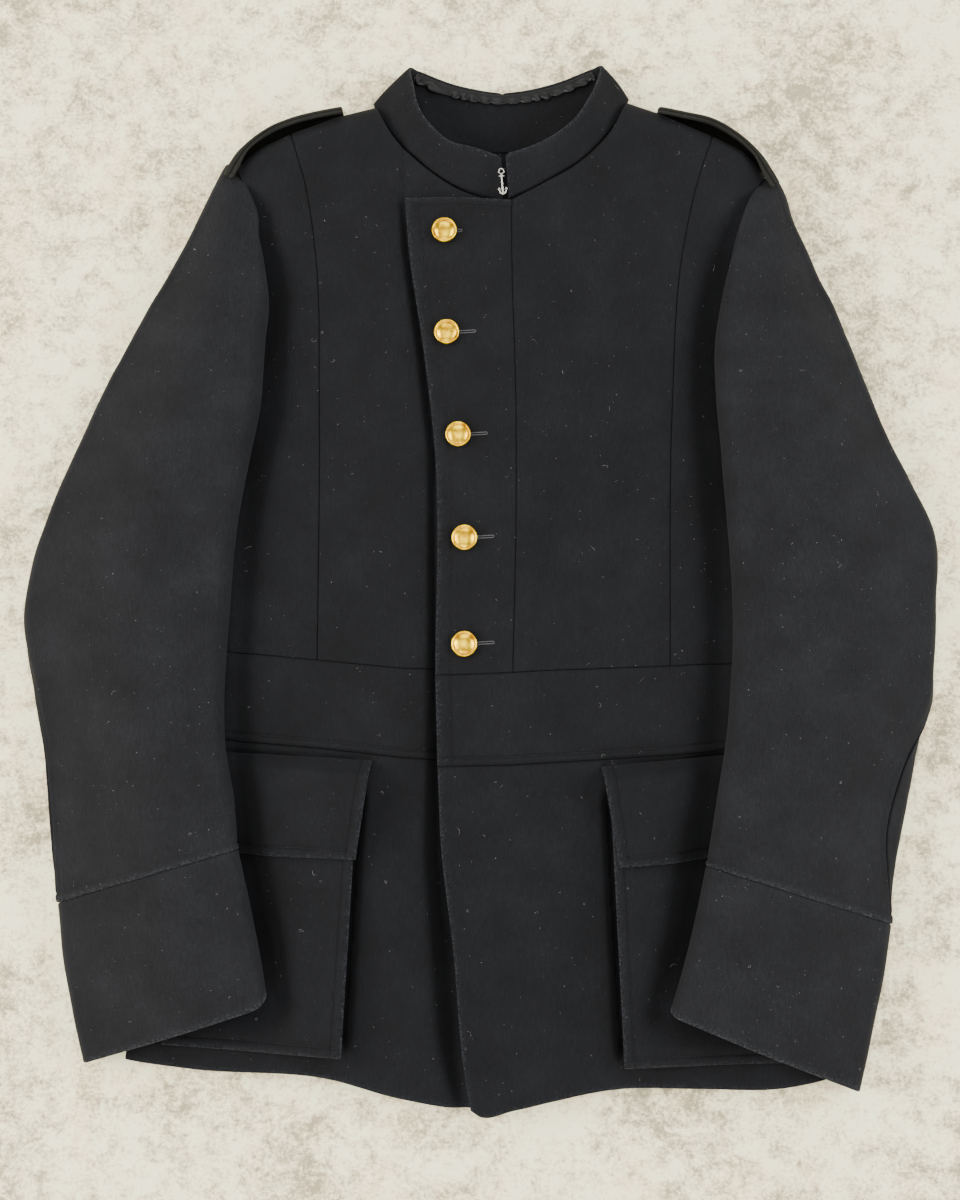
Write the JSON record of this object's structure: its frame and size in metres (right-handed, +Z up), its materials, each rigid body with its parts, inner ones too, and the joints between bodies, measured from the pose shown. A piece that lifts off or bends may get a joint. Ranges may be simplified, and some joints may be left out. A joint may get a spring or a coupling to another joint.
{
  "type": "officer jacket",
  "caption": "Black wool officer jacket laid flat on its back: stand collar, gilt front buttons, shoulder straps, waistband, flapped bellows pockets and turned cuffs.",
  "frame": {"origin": "middle of the jacket's box in plan, on the surface that it lies on", "axes": "+X towards the wearer's left sleeve, +Y towards the collar, +Z up, out of the front of the jacket"},
  "size_m": [0.7062, 0.8172, 0.0513],
  "materials": {
    "melton": "heavy black wool melton, fulled, napped and pressed",
    "satin": "black satin, gathered",
    "gilt": "gilt brass, stamped and polished",
    "nickel": "nickel-plated steel, stamped"
  },
  "bodies": {
    "root": {"back_bodice": "melton", "back_waistband": "melton", "back_skirt": "melton", "front_right_centre": "melton", "front_right_side": "melton", "front_left_placket": "melton", "front_left_centre": "melton", "front_left_side": "melton", "waistband_right": "melton", "waistband_left": "melton", "skirt_right": "melton", "skirt_left": "melton", "pocket_right": "melton", "pocket_left": "melton", "flap_right": "melton", "flap_left": "melton", "sleeve_right_top": "melton", "sleeve_right_under": "melton", "sleeve_left_top": "melton", "sleeve_left_under": "melton", "cuff_right": "melton", "cuff_left": "melton", "collar_band": "melton", "epaulette_right": "melton", "epaulette_left": "melton", "collar_satin": "satin", "button_1": "gilt", "button_2": "gilt", "button_3": "gilt", "button_4": "gilt", "button_5": "gilt", "collar_clasp": "nickel"}
  },
  "joints": []
}
